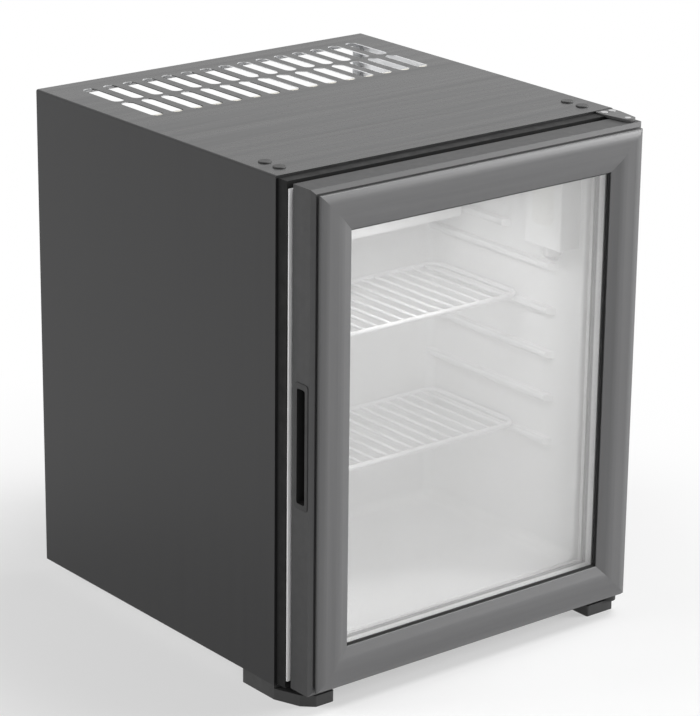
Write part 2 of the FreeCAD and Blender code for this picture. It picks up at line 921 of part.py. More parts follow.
def corner_keys():
    """Angle pieces that join the bars inside their chambers."""
    u = (frame_wall + key_gap, chamber_inner - key_gap)
    y = (door_rear_y - chamber_front + key_gap, door_rear_y - chamber_rear - key_gap)
    keys = []
    for side in (-1, 1):
        for end, edge_z in ((-1, door_bottom_z), (1, door_top_z)):
            along = [(u[0], u[0]), (key_leg, u[0]), (key_leg, u[1])]
            down = [(u[1], u[1]), (u[1], key_leg), (u[0], key_leg)]
            corners = [(side * (door_side_x - a), edge_z - end * b, 0) for a, b in along + down]
            keys.append(slab(corners, "xz", y).cut(bush_bores()))
    return Part.makeCompound(keys)


def pull_block(height, width, radius, x):
    """A rounded block at the recessed pull's place, between two distances from the door's left side."""
    y = about(door_rear_y - pull_setback, width)
    z = about(door_middle_z, height)
    return slab(rectangle(y, z, radius), "yz", (x[0] - door_side_x, x[1] - door_side_x))


def pull_cup(gap):
    """The pull's cup, grown by a gap."""
    grow = 2 * (pull_wall + gap)
    depth = pull_slot_depth + pull_wall + gap
    return pull_block(pull_slot_height + grow, pull_slot_width + grow, pull_radius + pull_wall, (0, depth))


def handle_insert():
    """Recessed pull: a thin rim on the door's side and a cup for the fingers."""
    rim = pull_block(pull_height, pull_width, pull_radius + pull_wall, (-pull_rim, 0))
    outer_edge = edges_where(rim, lambda c: near(c.x, -door_side_x - pull_rim))
    rim = rim.makeChamfer(pull_rim / 2, outer_edge)
    slot = pull_block(pull_slot_height, pull_slot_width, pull_radius, (-pull_rim, pull_slot_depth))
    floor_edge = edges_where(slot, lambda c: near(c.x, pull_slot_depth - door_side_x))
    return rim.fuse(pull_cup(0)).removeSplitter().cut(slot.makeFillet(pull_floor_radius, floor_edge))


def door_left_stile():
    """The left bar, with an opening for the recessed pull."""
    return frame_bar("left").cut(pull_cup(pull_gap))


# Shelves and tray
def wire_shelf(index):
    """A rod frame with wires from front to rear, laid on a pair of ribs."""
    z = rib_z(index) + touch_clearance + shelf_rod / 2
    x = wall_x - shelf_side_gap - shelf_rod / 2
    rear = rear_wall_y - shelf_rear_gap - shelf_rod / 2
    front = rear - shelf_depth + shelf_rod
    points = [Vector(-x, front, z), Vector(x, front, z), Vector(x, rear, z), Vector(-x, rear, z)]
    path = rounded_wire(points, [shelf_corner] * len(points))
    pitch = 2 * x / (shelf_wires + 1)
    places = [pitch * (wire + 1) - x for wire in range(shelf_wires)]
    wires = [rod(Vector(place, front, z), Vector(place, rear, z), shelf_wire) for place in places]
    return fused([swept(path, shelf_rod), *wires])


def drip_tray():
    """Shallow tray under the evaporator whose lips lie on the short ribs."""
    lip_x = wall_x - shelf_side_gap
    body_x = wall_x - rib_reach - shelf_side_gap
    y = (rear_wall_y - tray_rear_gap - tray_depth, rear_wall_y - tray_rear_gap)
    lip_z = tray_rib_z + touch_clearance
    top = lip_z + tray_wall
    lip = slab(rectangle((-lip_x, lip_x), y, tray_corner), "xy", (lip_z, top))
    body = slab(rectangle((-body_x, body_x), y, tray_corner), "xy", (top - tray_height, top))
    inside_y = (y[0] + tray_wall, y[1] - tray_wall)
    inside_x = body_x - tray_wall
    inside = slab(rectangle((-inside_x, inside_x), inside_y, tray_corner - tray_wall), "xy",
                  (top - tray_height + tray_wall, top))
    return lip.fuse(body).removeSplitter().cut(inside)


# Cooling unit
def condenser_points():
    """The pipe's path from the boiler's top, along the fins and into the rear wall."""
    return [
        Vector(boiler_x, unit_y, pipe_joint_z),
        Vector(boiler_x, unit_y, evaporator_z),
        Vector(evaporator_inlet, unit_y, evaporator_z),
        Vector(evaporator_inlet, plate_rear_y, evaporator_z),
    ]


def evaporator_points():
    """The pipe's path through the rear wall, behind the cold fins and out again."""
    return [
        Vector(evaporator_inlet, plate_rear_y, evaporator_z),
        Vector(evaporator_inlet, evaporator_y, evaporator_z),
        Vector(evaporator_outlet, evaporator_y, evaporator_z),
        Vector(evaporator_outlet, unit_y, evaporator_z),
        Vector(evaporator_outlet, unit_y, evaporator_z - coil_lead),
    ]


def coil_pass_z(index):
    """The height of one pass of the absorber coil."""
    return evaporator_z - coil_top_drop - index * coil_pitch


def coil_points():
    """The absorber's path from side to side, down to the vessel."""
    ends = (evaporator_outlet, coil_right)
    points = [Vector(evaporator_outlet, unit_y, evaporator_z - coil_lead)]
    for index in range(coil_passes):
        z = coil_pass_z(index)
        points.append(Vector(ends[index % 2], unit_y, z))
        points.append(Vector(ends[(index + 1) % 2], unit_y, z))
    return points + [Vector(points[-1].x, unit_y, vessel_z)]


def boiler_points():
    """The pipe's path from the vessel, up through the boiler's jacket."""
    return [
        Vector(vessel_right, unit_y, vessel_z),
        Vector(boiler_x, unit_y, vessel_z),
        Vector(boiler_x, unit_y, pipe_joint_z),
    ]


def pipe(points, bend=pipe_bend):
    """A hollow pipe along a path."""
    bore = tube_along(points, pipe_diameter - 2 * pipe_wall, bend)
    return tube_along(points, pipe_diameter, bend).cut(bore)


def pipe_way(points, bend=pipe_bend):
    """The hole that a pipe takes up in what it passes through."""
    return tube_along(points, pipe_diameter + 2 * fit_clearance, bend)


def absorber_coil():
    """Pipe from side to side, seated on the vessel's top."""
    return pipe(coil_points(), coil_bend).cut(vessel_blank(0))


def vessel_blank(inset):
    """The vessel's round block with domed ends, set in by an inset."""
    ends = (vessel_left + inset, vessel_right - inset)
    blank = rod(*[Vector(x, unit_y, vessel_z) for x in ends], vessel_diameter - 2 * inset)
    rims = edges_where(blank, lambda c: near(c.x, ends[0]) or near(c.x, ends[1]))
    return blank.makeFillet(vessel_dome - inset, rims)


def absorber_vessel():
    """Hollow tank with domed ends."""
    return vessel_blank(0).cut(vessel_blank(vessel_wall))


def evaporator_plug():
    """Foam block that closes the way through the rear wall round the pipes."""
    return window((rear_wall_y, plate_rear_y)).cut(pipe_way(evaporator_points()))


def evaporator_fins():
    """Cold block with upright fins, grooved for the pipe."""
    z = about(evaporator_z, fin_block_height)
    front = evaporator_y - fin_block_base
    half = fin_block_width / 2
    base = box((-half, half), (front, evaporator_y), z)
    step = (fin_block_width - fin_thickness) / (fin_count - 1)
    fins = [box(onward(index * step - half, fin_thickness), (front - fin_depth, front), z)
            for index in range(fin_count)]
    return fused([base, *fins]).cut(pipe_way(evaporator_points()))


def evaporator_clamp():
    """Block that clamps the pipe to the cold block from behind."""
    middle = (evaporator_inlet + evaporator_outlet) / 2
    y = onward(evaporator_y, clamp_thickness)
    block = box(about(middle, clamp_width), y, about(evaporator_z, clamp_height))
    return block.cut(pipe_way(evaporator_points()))


def condenser_fins():
    """Row of thin plates on the condenser pipe."""
    middle = (boiler_x + evaporator_inlet) / 2
    y = about(unit_y, condenser_fin_depth)
    z = about(evaporator_z, condenser_fin_height)
    hole = pipe_way(condenser_points())
    end = pipe_bend + support_end_gap + support_sheet + condenser_fin_end_gap
    steps = math.floor((boiler_x - evaporator_inlet - 2 * end) / condenser_fin_pitch)
    fins = []
    for index in range(steps + 1):
        x = middle + (index - steps / 2) * condenser_fin_pitch
        fin = slab(rectangle(y, z, condenser_fin_radius), "yz", about(x, condenser_fin_sheet))
        fins.append(fin.cut(hole))
    return Part.makeCompound(fins)


def boiler_cylinder(diameter, z):
    """A round bar on the boiler's axis."""
    return rod(Vector(boiler_x, unit_y, z[0]), Vector(boiler_x, unit_y, z[1]), diameter)


def heater_rod(z, diameter):
    """A round bar on the heater's axis, behind the boiler tube."""
    y = unit_y + heater_offset
    return rod(Vector(boiler_x, y, z[0]), Vector(boiler_x, y, z[1]), diameter)


def boiler_jacket():
    """Insulated can round the boiler tube, with a pocket for the heater."""
    can = boiler_cylinder(boiler_diameter, (boiler_low_z, boiler_top_z))
    rims = edges_where(can, lambda c: near(c.z, boiler_low_z) or near(c.z, boiler_top_z))
    depth = heater_length + loose_clearance
    pocket = heater_rod(onward(boiler_low_z, depth), heater_diameter + 2 * fit_clearance)
    return can.makeFillet(boiler_edge, rims).cut([pipe_way(boiler_points()), pocket])


def heater_cartridge():
    """Heater rod in the jacket's pocket, with a cap below it."""
    return fused([heater_rod(onward(boiler_low_z, heater_length), heater_diameter),
                  heater_rod((boiler_low_z - heater_tail, boiler_low_z), heater_cap)])


def pipe_support(x, top, bottom):
    """A bent sheet from the back plate out to the pipes."""
    y = (plate_rear_y, unit_y + support_nose)
    z = (bottom - support_margin, top + support_margin)
    web = slab(rectangle(y, z), "yz", onward(x, support_sheet))
    foot = box(onward(x, support_flange), onward(plate_rear_y, support_sheet), z)
    return fused([web, foot])


def coil_supports():
    """Sheets that carry the absorber coil."""
    last = coil_pass_z(coil_passes - 1)
    coil = pipe_way(coil_points(), coil_bend)
    places = [evaporator_outlet + share * (coil_right - evaporator_outlet) for share in coil_support_shares]
    return Part.makeCompound([pipe_support(x, coil_pass_z(0), last).cut(coil) for x in places])


def condenser_supports():
    """Sheets that carry the condenser pipe."""
    hole = pipe_way(condenser_points())
    end = pipe_bend + support_end_gap
    places = (evaporator_inlet + end, boiler_x - end - support_sheet)
    return Part.makeCompound([pipe_support(x, evaporator_z, evaporator_z).cut(hole) for x in places])


def vessel_cradles():
    """Upright sheets on the pan, hollowed for the vessel."""
    y = about(unit_y, cradle_width)
    tank = vessel_blank(-fit_clearance)
    cradles = []
    for share in cradle_shares:
        x = vessel_left + share * (vessel_right - vessel_left)
        web = box(onward(x, support_sheet), y, (pan_top_z, vessel_z))
        foot = box(onward(x, cradle_foot), y, onward(pan_top_z, support_sheet))
        cradles.append(fused([web, foot]).cut(tank))
    return Part.makeCompound(cradles)


def boiler_bracket():
    """Strap round the boiler's jacket, with an arm from the back plate."""
    z = about((boiler_low_z + boiler_top_z) / 2, boiler_strap_height)
    inside = boiler_cylinder(boiler_diameter + 2 * fit_clearance, z)
    strap = boiler_cylinder(boiler_diameter + 2 * boiler_strap, z)
    arm = box(about(boiler_x, boiler_strap), (plate_rear_y, unit_y), z)
    foot = box(about(boiler_x, boiler_arm), onward(plate_rear_y, support_sheet), z)
    return fused([strap, arm, foot]).cut(inside)


# Control box and mains inlet
control_x = (control_side_gap - inner_x, control_side_gap - inner_x + control_width)
control_z = (pan_top_z + control_level, pan_top_z + control_level + control_height)
control_rear_y = plate_rear_y + control_depth
inlet_x = (control_x[0] + control_x[1]) / 2
inlet_z = control_z[0] + inlet_level_share * control_height


def inlet_body(grow=0):
    """The inlet's plain body, sunk into the control box."""
    x = about(inlet_x, inlet_width + 2 * grow)
    z = about(inlet_z, inlet_height + 2 * grow)
    return box(x, (control_rear_y - inlet_depth - grow, control_rear_y), z)


def control_box():
    """Closed box on the back plate, with a seat for the inlet."""
    corners = rectangle(control_x, control_z, control_radius)
    block = slab(corners, "xz", (plate_rear_y, control_rear_y))
    rim = edges_where(block, lambda c: near(c.y, control_rear_y))
    return block.makeFillet(control_radius / 2, rim).cut(inlet_body(fit_clearance))


def mains_inlet():
    """Three-pin inlet with two cut corners."""
    rear = control_rear_y + inlet_flange
    flange_x = about(inlet_x, inlet_width + 2 * inlet_flange_margin)
    flange_z = about(inlet_z, inlet_height + 2 * inlet_flange_margin)
    flange = slab(rectangle(flange_x, flange_z, inlet_flange_margin), "xz", (control_rear_y, rear))
    x = about(inlet_x, inlet_width - 2 * inlet_wall)
    z = about(inlet_z, inlet_height - 2 * inlet_wall)
    hollow = [
        (x[0], z[0], 0),
        (x[1], z[0], 0),
        (x[1], z[1] - inlet_corner, 0),
        (x[1] - inlet_corner, z[1], 0),
        (x[0] + inlet_corner, z[1], 0),
        (x[0], z[1] - inlet_corner, 0),
    ]
    recess = slab(hollow, "xz", (rear - inlet_recess, rear))
    pins = []
    for step, rise in ((-1, 0), (0, inlet_earth_rise), (1, 0)):
        pin_x = about(inlet_x + step * inlet_pin_spacing, inlet_pin_width)
        pin_z = about(inlet_z + rise, inlet_pin_height)
        pins.append(box(pin_x, onward(rear - inlet_recess, inlet_pin_length), pin_z))
    return fused([inlet_body().fuse(flange).cut(recess), *pins])


# Lamp and thermostat housing
housing_x = (wall_x - housing_reach, wall_x)
housing_y = (flange_front_y + housing_front_gap, flange_front_y + housing_front_gap + housing_depth)
housing_z = (ceiling_z - housing_ceiling_gap - housing_height, ceiling_z - housing_ceiling_gap)
lens_y = (housing_y[0] + housing_y[1]) / 2
lens_z = housing_z[1] - housing_wall - loose_clearance - lens_step - lens_height / 2
knob_x = (housing_x[0] + housing_wall + housing_x[1]) / 2
knob_y = lens_y


def inside_housing():
    """The hollow of the housing, open towards the wall."""
    y = (housing_y[0] + housing_wall, housing_y[1] - housing_wall)
    z = (housing_z[0] + housing_wall, housing_z[1] - housing_wall)
    return box((housing_x[0] + housing_wall, housing_x[1]), y, z)


def knob_rod(z, diameter):
    """A round bar on the knob's axis."""
    return rod(Vector(knob_x, knob_y, z[0]), Vector(knob_x, knob_y, z[1]), diameter)


def lens_plate(grow):
    """The lens window's block through the housing's inner side."""
    y = about(lens_y, lens_depth + 2 * grow)
    z = about(lens_z, lens_height + 2 * grow)
    return box((housing_x[0], housing_x[0] + housing_wall), y, z)


def control_housing():
    """White shell on the right wall, with a lens window and a hole for the knob's shaft."""
    block = box(housing_x, housing_y, housing_z)
    soft = edges_where(block, lambda c: not near(c.x, wall_x))
    shaft_hole = knob_rod(onward(housing_z[0], housing_wall), knob_shaft + 2 * fit_clearance)
    shell = block.makeFillet(housing_radius, soft).cut(inside_housing())
    return shell.cut([lens_plate(fit_clearance), shaft_hole])


def lamp_lens():
    """Diffusing lens with a step that lies behind the window's edge."""
    y = about(lens_y, lens_depth + 2 * lens_step)
    z = about(lens_z, lens_height + 2 * lens_step)
    step = box(onward(housing_x[0] + housing_wall, lens_step), y, z)
    return lens_plate(0).fuse(step).removeSplitter()


def led_board():
    """Lamp board held between the housing's front and rear walls."""
    y = (housing_y[0] + housing_wall + fit_clearance, housing_y[1] - housing_wall - fit_clearance)
    x = onward(housing_x[0] + housing_wall + lens_step + board_gap, board_thickness)
    return box(x, y, about(lens_z, lens_height))


def thermostat_body():
    """Switch block on the housing's floor, bored for the knob's shaft."""
    z = onward(housing_z[0] + housing_wall, thermostat_height)
    block = box(about(knob_x, thermostat_width), about(knob_y, thermostat_depth), z)
    bore = onward(z[0], thermostat_height / 2 + loose_clearance)
    return block.cut(knob_rod(bore, knob_shaft + 2 * fit_clearance))


def thermostat_knob():
    """Round knob under the housing, with a grip bar and a shaft."""
    top = housing_z[0] - knob_gap
    disc = knob_rod((top - knob_height, top), knob_diameter)
    lower_rim = edges_where(disc, lambda c: near(c.z, top - knob_height))
    disc = disc.makeChamfer(knob_gap, lower_rim)
    grip_z = (top - knob_height - knob_grip_height, top - knob_height)
    grip = box(about(knob_x, knob_grip), about(knob_y, knob_diameter - knob_grip), grip_z)
    shaft = knob_rod((top, housing_z[0] + housing_wall + thermostat_height / 2), knob_shaft)
    return fused([disc, grip, shaft])


PIECES = {
    "outer_casing": outer_casing,
    "base_pan": lambda: base_pan().cut(foot_screw_holes()),
    "back_plate": back_plate,
    "insulation_foam": insulation_foam,
    "inner_liner": inner_liner,
    "front_collar": front_collar,
    "screw_caps": screw_caps,
    "front_foot_left": lambda: front_foot(left_foot_nose),
    "front_foot_right": front_foot_right,
    "rear_foot_left": lambda: rear_foot(-1),
    "rear_foot_right": lambda: rear_foot(1),
    "foot_screws": foot_screws,
    "upper_hinge_bracket": upper_hinge_bracket,
    "upper_hinge_pin": upper_hinge_pin,
    "lower_hinge_bracket": lower_hinge_bracket,
    "lower_hinge_pin": lower_hinge_pin,
    "thrust_washer": thrust_washer,
    "hinge_screws": hinge_screws,
    "evaporator_plug": evaporator_plug,
    "evaporator_pipe": lambda: pipe(evaporator_points()),
    "evaporator_fins": evaporator_fins,
    "evaporator_clamp": evaporator_clamp,
    "condenser_pipe": lambda: pipe(condenser_points()),
    "condenser_fins": condenser_fins,
    "condenser_supports": condenser_supports,
    "absorber_coil": absorber_coil,
    "absorber_vessel": absorber_vessel,
    "boiler_tube": lambda: pipe(boiler_points()),
    "boiler_jacket": boiler_jacket,
    "boiler_bracket": boiler_bracket,
    "heater_cartridge": heater_cartridge,
    "vessel_cradles": vessel_cradles,
    "coil_supports": coil_supports,
    "control_box": control_box,
    "mains_inlet": mains_inlet,
    "control_housing": control_housing,
    "lamp_lens": lamp_lens,
    "led_board": led_board,
    "thermostat_body": thermostat_body,
    "thermostat_knob": thermostat_knob,
    "door_top_rail": lambda: frame_bar("top").cut(bush_bores()),
    "door_bottom_rail": lambda: frame_bar("bottom").cut(bush_bores()),
    "door_left_stile": door_left_stile,
    "door_right_stile": lambda: frame_bar("right").cut(bush_bores()),
    "corner_keys": corner_keys,
    "handle_insert": handle_insert,
    "outer_pane": lambda: glass_pane(outer_pane_rear),
    "inner_pane": lambda: glass_pane(inner_pane_rear),
    "pane_spacer": pane_spacer,
    "edge_sealant": edge_sealant,
    "glazing_seal": glazing_seal,
    "glazing_bead": glazing_bead,
    "door_gasket": door_gasket,
    "gasket_magnets": gasket_magnets,
    "upper_hinge_bush": lambda: hinge_bush((door_top_z - bush_length, door_top_z)),
    "lower_hinge_bush": lambda: hinge_bush((door_bottom_z, door_bottom_z + bush_length)),
    "upper_shelf": lambda: wire_shelf(upper_shelf_rib_index),
    "lower_shelf": lambda: wire_shelf(lower_shelf_rib_index),
    "drip_tray": drip_tray,
}

os.makedirs("parts", exist_ok=True)
for name, make in PIECES.items():
    make().exportStep(f"parts/{name}.step")
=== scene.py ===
import bpy
import bmesh
import json
import math
from mathutils import Matrix, Vector

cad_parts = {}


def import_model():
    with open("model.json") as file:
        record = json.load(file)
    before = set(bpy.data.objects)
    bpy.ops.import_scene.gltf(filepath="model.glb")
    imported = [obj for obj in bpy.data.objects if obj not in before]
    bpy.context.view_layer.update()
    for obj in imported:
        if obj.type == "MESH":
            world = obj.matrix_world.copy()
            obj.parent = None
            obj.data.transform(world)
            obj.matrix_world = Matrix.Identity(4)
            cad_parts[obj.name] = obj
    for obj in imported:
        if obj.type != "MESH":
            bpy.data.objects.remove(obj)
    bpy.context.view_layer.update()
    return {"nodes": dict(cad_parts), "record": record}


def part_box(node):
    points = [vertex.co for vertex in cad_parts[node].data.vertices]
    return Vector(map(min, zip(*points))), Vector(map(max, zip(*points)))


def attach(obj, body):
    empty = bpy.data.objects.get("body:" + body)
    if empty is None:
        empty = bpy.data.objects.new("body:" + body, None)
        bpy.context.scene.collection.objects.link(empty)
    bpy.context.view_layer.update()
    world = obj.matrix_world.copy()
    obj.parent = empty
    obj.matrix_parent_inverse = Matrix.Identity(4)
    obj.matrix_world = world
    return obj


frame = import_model()
nodes = frame["nodes"]
scene = bpy.context.scene
scene.view_settings.view_transform = "Standard"

# Camera, fitted to the corners of the cabinet and the door
SENSOR_HEIGHT = 36.0
LENS = 156.855
EYE = (-1.784418, -2.237258, 1.237845)
RIGHT = (0.78143179, -0.62389704, 0.010809)
AHEAD = (0.59231119, 0.73619858, -0.3273822)

# Places on the cabinet and the door, in metres
CABINET_MIDDLE = (0.0, 0.027, 0.257)
DOOR_MIDDLE_Z = 0.257
DOOR_HALF_WIDTH, DOOR_HALF_HEIGHT = 0.1955, 0.2395
# Flank and opening bounds, chamfer and fade depths: where the door frame material paints shade on
# the bezel's outer side faces, chamfer and inner returns.
FLANK_HALF_WIDTH, FLANK_HALF_HEIGHT = 0.1890, 0.2330
OPENING_HALF_WIDTH, OPENING_HALF_HEIGHT = 0.1542, 0.1982
BEZEL_BACK_Y = -0.2059
CHAMFER_FRONT_Y = -0.2086
FLANK_SHADE_FADE_Y = (-0.2142, -0.2122)

# Stretches of the noise: the axis with the small share is the one that drawn lines follow
EVEN = (1, 1, 1)
UP = (1, 1, 0.03)
ACROSS = (0.03, 1, 1)
SMEARED = (1, 1, 0.35)

# Sockets of the colour mix node
MIX_FACTOR, MIX_FIRST, MIX_SECOND, MIX_RESULT = 0, 6, 7, 2

# Spacer bar: greys across its depth, from the outer pane to the inner one; the dark ends are
# sealant and painted shade where it meets the panes.
SPACER_GREYS = [(0.0, 0.30), (0.06, 0.78), (0.60, 0.80), (0.72, 0.30), (0.96, 0.26), (1.0, 0.4)]

# Screw heads at the rear: columns, rows and radius on each sheet
REARWARD = (0, 1, 0)
CASING_COLUMNS, CASING_ROWS = (-0.1935, 0.1935), (0.06, 0.20, 0.34, 0.46)
CASING_TOP_COLUMNS, CASING_TOP_ROW = (-0.13, 0.0, 0.13), (0.4935,)
PLATE_COLUMNS, PLATE_ROWS = (-0.183, 0.183), (0.045, 0.26, 0.40, 0.47)
PLATE_TOP_COLUMNS, PLATE_TOP_ROW = (-0.09, 0.09), (0.480,)
COIL_SUPPORT_COLUMNS, COIL_SUPPORT_ROWS = (-0.0475, 0.0605), (0.205, 0.277, 0.349)
FIN_SUPPORT_COLUMNS, FIN_SUPPORT_ROWS = (0.0195, 0.1365), (0.406, 0.426)
CONTROL_PLACES = ((-0.185, 0.199), (-0.135, 0.199), (-0.135, 0.111))
SUPPORT_FOOT_THICKNESS = 0.0015
CASING_HEAD, PLATE_HEAD, SUPPORT_HEAD, CONTROL_HEAD = 0.0030, 0.0032, 0.0028, 0.0022
DOME_ANGLES = (0.25, 0.6, 0.95, 1.25)
SLOT_SPIN = 0.4
SHARP_ANGLE = 35
LATHE_STEPS = 24

# Weld beads on the pipes: place, axis, pipe radius and bead radius
WELDS = [
    ((0.1055, 0.1377, 0.0808), (1, 0, 0), 0.0072, 0.0021),
    ((0.085, 0.1377, 0.1068), (0, 0, 1), 0.0072, 0.0021),
    ((0.150, 0.1377, 0.3458), (0, 0, 1), 0.0070, 0.0016),
    ((-0.095, 0.1377, 0.386), (0, 0, 1), 0.0070, 0.0016),
]
WELD_STEPS, WELD_SIDES = 48, 10

# Floor, world and lamps
FLOOR_HALF = 12.0
NEAR_WHITE, NEAR_REACH, FAR_REACH = 0.46, 0.3, 0.75
SOFT_STRENGTH = 0.18
LAMPS = {
    "overhead": dict(place=(1.2, -0.6, 2.6), target=(0, 0, 0.2), size=1.2, power=47),
    "key": dict(place=(3.2, -2.0, 1.35), target=(0, -0.1, 0.25), size=1.3, power=121),
    "fill": dict(place=(-1.5, -3.0, 1.0), target=(0.05, 0, 0.3), size=1.4, power=14,
                 mirrored=False),
    "rim": dict(place=(-2.6, 1.6, 1.3), target=(0, 0.1, 0.25), size=1.6, power=66,
                mirrored=False),
    "inside": dict(place=(0, -0.115, 0.455), target=(0, -0.112, 0.1), size=0.1, power=0.19,
                   mirrored=False, beam=145),
}


def camera():
    data = bpy.data.cameras.new("camera")
    data.sensor_fit = "VERTICAL"
    data.sensor_height = SENSOR_HEIGHT
    data.lens = LENS
    right = Vector(RIGHT).normalized()
    ahead = Vector(AHEAD).normalized()
    turn = Matrix((right, right.cross(ahead), -ahead)).transposed().to_4x4()
    obj = bpy.data.objects.new("camera", data)
    obj.matrix_world = Matrix.Translation(Vector(EYE)) @ turn
    scene.collection.objects.link(obj)
    scene.camera = obj


class Tree:
    """The node tree of a material or a world, with short names for the nodes used here."""

    def __init__(self, owner):
        owner.use_nodes = True
        self.owner = owner
        self.tree = owner.node_tree
        self.tree.nodes.clear()

    def node(self, kind, inputs=None, **settings):
        n = self.tree.nodes.new(kind)
        for key, value in settings.items():
            setattr(n, key, value)
        for key, value in (inputs or {}).items():
            if isinstance(value, bpy.types.NodeSocket):
                self.tree.links.new(value, n.inputs[key])
            else:
                n.inputs[key].default_value = value
        return n

    def place(self):
        return self.node("ShaderNodeTexCoord").outputs["Object"]

    def axes(self, vector):
        return self.node("ShaderNodeSeparateXYZ", {"Vector": vector}).outputs

    def noise(self, scale, detail=3.0, stretch=EVEN, rough=0.55):
        place = self.node("ShaderNodeMapping", {"Vector": self.place(), "Scale": stretch})
        inputs = {"Vector": place.outputs["Vector"], "Scale": scale, "Detail": detail,
                  "Roughness": rough}
        return self.node("ShaderNodeTexNoise", inputs).outputs["Fac"]

    def cells(self, scale):
        return self.node("ShaderNodeTexVoronoi", {"Vector": self.place(), "Scale": scale}).outputs

    def spread(self, value, low=0.0, high=1.0, start=0.3, end=0.7, **settings):
        """A value that runs from low to high while the given one runs from start to end."""
        inputs = {"Value": value, "From Min": start, "From Max": end, "To Min": low, "To Max": high}
        return self.node("ShaderNodeMapRange", inputs, **settings).outputs["Result"]

    def math(self, operation, a, b=0.0):
        return self.node("ShaderNodeMath", {0: a, 1: b}, operation=operation).outputs["Value"]

    def rest(self, share):
        return self.math("SUBTRACT", 1.0, share)

    def mix(self, factor, first, second):
        inputs = {MIX_FACTOR: factor, MIX_FIRST: first, MIX_SECOND: second}
        return self.node("ShaderNodeMix", inputs, data_type="RGBA").outputs[MIX_RESULT]

    def bump(self, height, strength, distance):
        inputs = {"Height": height, "Strength": strength, "Distance": distance}
        return self.node("ShaderNodeBump", inputs).outputs["Normal"]

    def shader(self, color, rough, normal=None, **more):
        inputs = {"Base Color": color, "Roughness": rough}
        if normal is not None:
            inputs["Normal"] = normal
        for key, value in more.items():
            inputs[key.replace("_", " ").title().replace("Ior", "IOR")] = value
        return self.node("ShaderNodeBsdfPrincipled", inputs)

    def blend(self, factor, first, second):
        inputs = {"Fac": factor, 1: first.outputs[0], 2: second.outputs[0]}
        return self.node("ShaderNodeMixShader", inputs)

    def done(self, shader, output="ShaderNodeOutputMaterial"):
        self.node(output, {"Surface": shader.outputs[0]})
        return self.owner


def new_tree(name):
    return Tree(bpy.data.materials.new(name))


def rgba(color, factor=1.0):
    values = (color, color, color) if isinstance(color, (int, float)) else color
    return (*[min(1.0, v * factor) for v in values], 1.0)


# Materials
def moulded(name, color, rough, grain=0.0, grain_scale=1500, vary=0.10, mottle=18, **more):
    """Plastic, rubber or coat: faint mottling, uneven gloss and a fine grain."""
    t = new_tree(name)
    cloud = t.noise(mottle, detail=4)
    tint = t.mix(t.spread(cloud), rgba(color, 1 - vary), rgba(color, 1 + vary))
    gloss = t.spread(t.noise(mottle * 5, detail=5), low=rough * 0.85, high=rough * 1.15)
    normal = t.bump(t.noise(grain_scale, detail=2), grain, distance=0.0002) if grain else None
    return t.done(t.shader(tint, gloss, normal, **more))


def metal(name, color, rough, stretch, metallic=1.0, vary=0.14):
    """Sheet or bar with brushed or drawn lines along the direction that stretch leaves long."""
    t = new_tree(name)
    lines = t.noise(scale=420, detail=4, stretch=stretch, rough=0.7)
    cloud = t.noise(scale=22, detail=4)
    tint = t.mix(t.spread(lines), rgba(color, 1 - vary), rgba(color, 1 + vary))
    tint = t.mix(t.spread(cloud, high=0.35), tint, rgba(color, factor=0.7))
    gloss = t.spread(lines, low=rough * 0.8, high=rough * 1.25)
    normal = t.bump(lines, strength=0.12, distance=0.0002)
    return t.done(t.shader(tint, gloss, normal, metallic=metallic))


def streaks(t, level):
    """Drawn lines, upright where level is 0 and from side to side where it is 1."""
    upright = t.noise(scale=90, detail=4, stretch=UP, rough=0.6)
    across = t.noise(scale=90, detail=4, stretch=ACROSS, rough=0.6)
    return t.math("ADD", t.math("MULTIPLY", across, level),
                  t.math("MULTIPLY", upright, t.rest(level)))


def casing_material():
    """Coated sheet with faint drawn streaks; the faces turned inwards are bare galvanised sheet."""
    t = new_tree("casing_coat")
    normal = t.node("ShaderNodeNewGeometry").outputs["Normal"]
    level = t.math("ABSOLUTE", t.axes(normal)["Z"])
    streak = streaks(t, level)
    dark = t.mix(t.spread(streak), rgba((0.008, 0.008, 0.0085)), rgba((0.016, 0.016, 0.0165)))
    middle = t.node("ShaderNodeVectorMath", {0: t.place(), 1: CABINET_MIDDLE},
                    operation="SUBTRACT").outputs["Vector"]
    outward = t.node("ShaderNodeVectorMath", {0: normal, 1: middle},
                     operation="DOT_PRODUCT").outputs["Value"]
    inside = t.math("LESS_THAN", outward, 0.0)
    spangle = t.spread(t.cells(scale=160.0)["Color"], start=0.1, end=0.9)
    zinc = t.mix(spangle, rgba((0.86, 0.87, 0.88)), rgba((0.95, 0.95, 0.96)))
    tint = t.mix(inside, dark, zinc)
    level_shine, zinc_shine, zinc_metallic = 0.13, 0.18, 0.35
    smooth = t.math("MAXIMUM", t.math("MULTIPLY", level, level_shine),
                    t.math("MULTIPLY", inside, zinc_shine))
    gloss = t.math("SUBTRACT", t.spread(streak, low=0.36, high=0.46), smooth)
    bare = t.math("MULTIPLY", inside, zinc_metallic)
    grain = t.bump(t.noise(scale=2600, detail=2), strength=0.04, distance=0.0001)
    return t.done(t.shader(tint, gloss, grain, metallic=bare, specular_ior_level=0.42))


def from_middle(t, place):
    """Distances to the side of and above or below the middle of the door."""
    height = t.math("SUBTRACT", place["Z"], DOOR_MIDDLE_Z)
    return t.math("ABSOLUTE", place["X"]), t.math("ABSOLUTE", height)


def within(t, place, half_width, half_height):
    """1 inside an upright rectangle round the middle of the door."""
    aside, above = from_middle(t, place)
    past = t.math("MAXIMUM", t.math("SUBTRACT", aside, half_width),
                  t.math("SUBTRACT", above, half_height))
    return t.math("LESS_THAN", past, 0.0)


